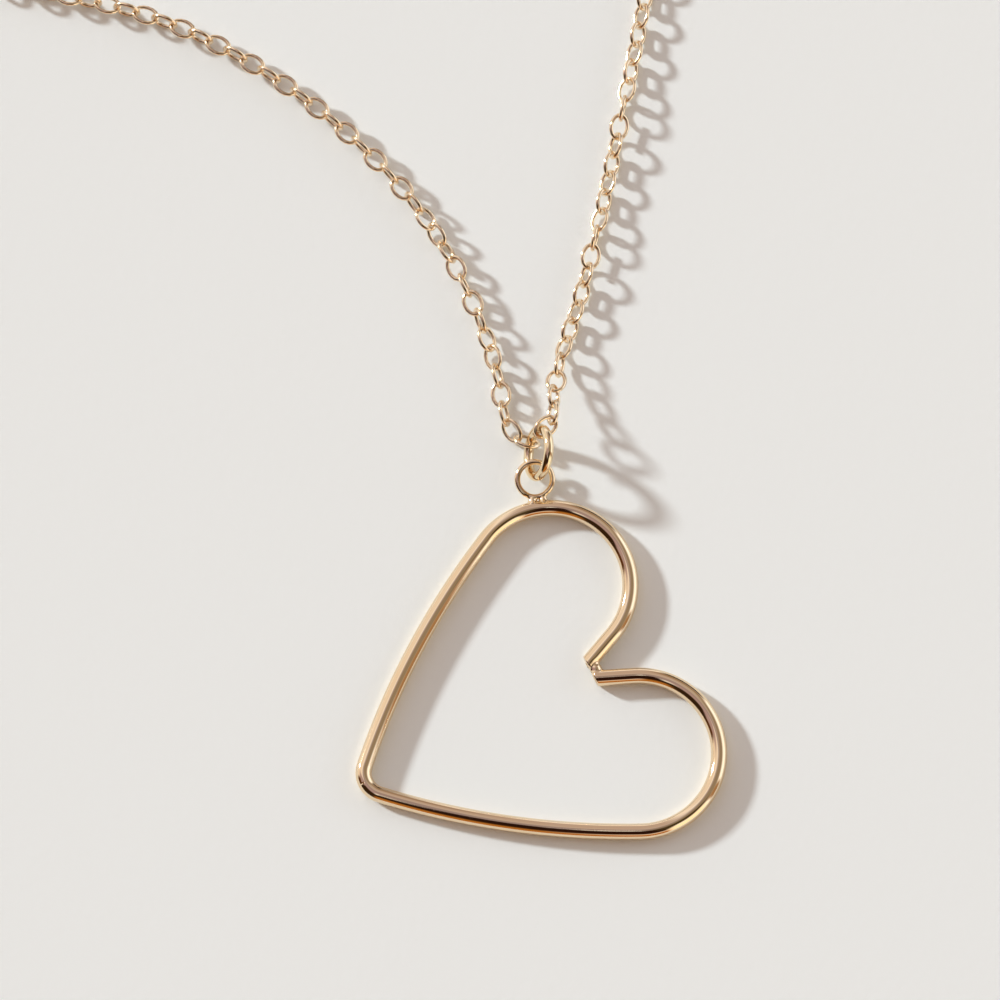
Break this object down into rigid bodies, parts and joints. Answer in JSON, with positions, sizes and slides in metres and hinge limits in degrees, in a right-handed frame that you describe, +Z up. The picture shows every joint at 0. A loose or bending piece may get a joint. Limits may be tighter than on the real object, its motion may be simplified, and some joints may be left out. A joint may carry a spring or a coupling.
{
  "type": "heart pendant necklace",
  "caption": "Open heart of round gold-coloured wire with a soldered eye, hung from a jump ring on a fine cable chain, laid flat as a loop and closed by a plain barrel clasp.",
  "frame": {"origin": "middle of the whole necklace on the surface that it lies on", "axes": "+Z up from the surface, +Y from the heart to the clasp, +X to the right as seen from above"},
  "size_m": [0.0958, 0.1722, 0.0044],
  "materials": {
    "heart_gold": "polished wire with pale gold plating",
    "ring_gold": "polished wire with pale gold plating",
    "chain_gold": "polished fine wire with pale gold plating"
  },
  "bodies": {
    "root": {"heart_pendant": "heart_gold", "jump_ring": "ring_gold", "chain_left": "chain_gold", "chain_right": "chain_gold", "clasp": "chain_gold"}
  },
  "joints": []
}
